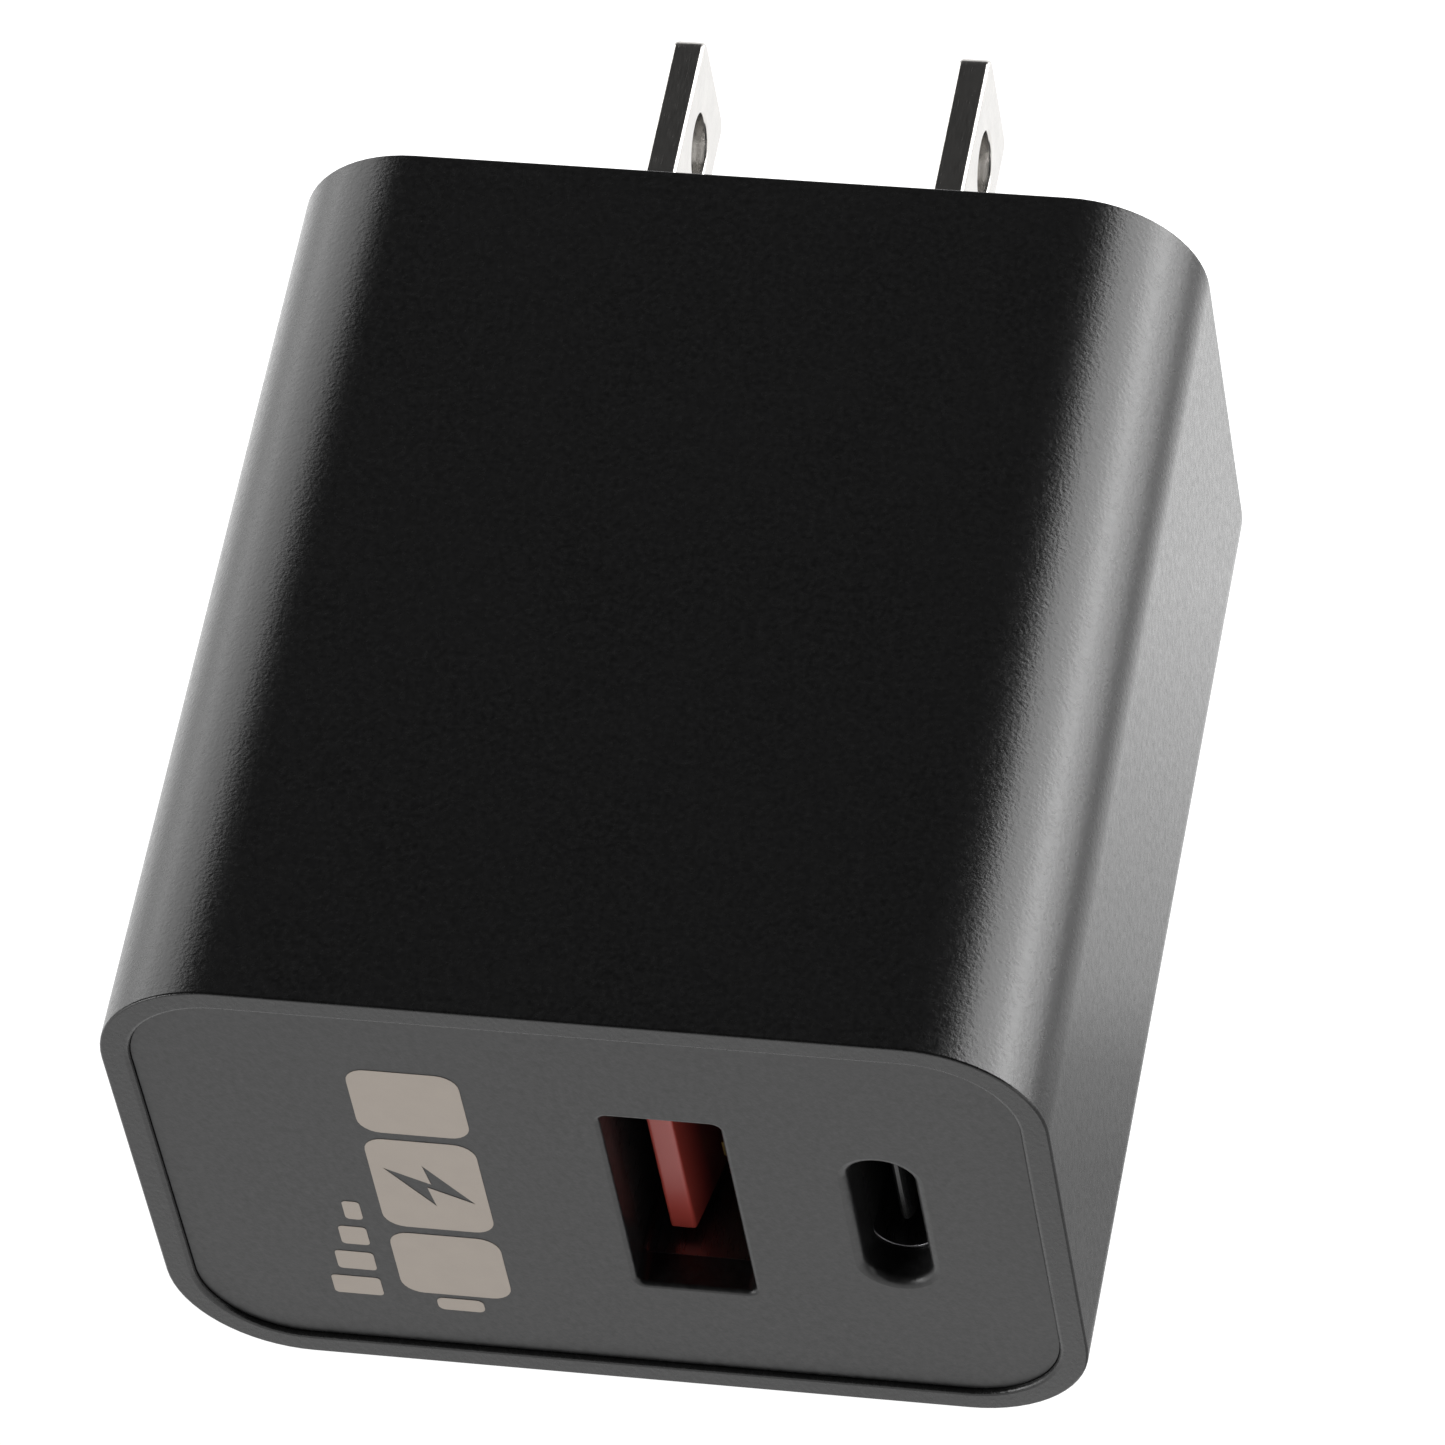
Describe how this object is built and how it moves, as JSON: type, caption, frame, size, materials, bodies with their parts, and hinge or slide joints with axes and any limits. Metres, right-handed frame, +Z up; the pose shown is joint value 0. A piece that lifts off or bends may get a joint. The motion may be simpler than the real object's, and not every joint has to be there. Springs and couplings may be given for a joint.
{
  "type": "usb wall charger",
  "caption": "Compact plug-in USB charger: round-edged dark block with fixed flat outlet blades behind and upright USB-A and USB-C sockets in a recessed front plate.",
  "frame": {"origin": "centre of the flat rear face that lies against the wall outlet, between the two blades", "axes": "+Y out of the rear face along the blades, towards the outlet; the ports face -Y; +Z up, across the long sides of the port openings; +X to the right seen from the ports"},
  "size_m": [0.039, 0.0586, 0.027],
  "materials": {
    "housing": "fine spark-textured satin, very dark graphite",
    "face_plate": "fine spark-textured satin, very dark graphite",
    "insert_plastic": "satin black",
    "blade_nickel": "nickel plate, satin",
    "socket_steel": "stamped steel, satin",
    "tongue_red": "moulded red-orange, satin",
    "tongue_black": "moulded black",
    "contact_gold": "gold flash",
    "spring_bronze": "phosphor bronze, bare",
    "board": "green solder mask",
    "sheet_fibre": "insulating paper",
    "package_black": "moulded black",
    "ferrite": "sintered grey-black",
    "copper": "enamelled copper wire",
    "tape_yellow": "polyester tape",
    "can_sleeve": "shrink sleeve",
    "can_aluminium": "drawn can, satin",
    "fuse_brown": "moulded brown",
    "disc_green": "dipped coating",
    "disc_blue": "dipped coating",
    "film_yellow": "moulded case"
  },
  "bodies": {
    "root": {"housing_shell": "housing", "front_plate": "face_plate", "blade_carrier": "insert_plastic", "blade_left": "blade_nickel", "blade_right": "blade_nickel", "usb_a_shell": "socket_steel", "usb_c_shell": "socket_steel", "usb_a_insulator": "tongue_red", "usb_c_insulator": "tongue_black", "usb_a_contact_1": "contact_gold", "usb_a_contact_2": "contact_gold", "usb_a_contact_3": "contact_gold", "usb_a_contact_4": "contact_gold", "contact_spring_left": "spring_bronze", "contact_spring_right": "spring_bronze", "main_board": "board", "port_board": "board", "insulation_sheet": "sheet_fibre", "board_header": "package_black", "optocoupler": "package_black", "bridge_rectifier": "package_black", "controller_chip": "package_black", "sync_rectifier_chip": "package_black", "protocol_chip": "package_black", "transformer_bobbin": "package_black", "choke_core": "ferrite", "transformer_core_front": "ferrite", "transformer_core_rear": "ferrite", "choke_winding_left": "copper", "choke_winding_right": "copper", "transformer_winding": "tape_yellow", "bulk_capacitor_upper": "can_sleeve", "bulk_capacitor_lower": "can_sleeve", "output_capacitor_left": "can_aluminium", "output_capacitor_right": "can_aluminium", "fuse": "fuse_brown", "thermistor": "disc_green", "y_capacitor": "disc_blue", "x_capacitor": "film_yellow"}
  },
  "joints": []
}
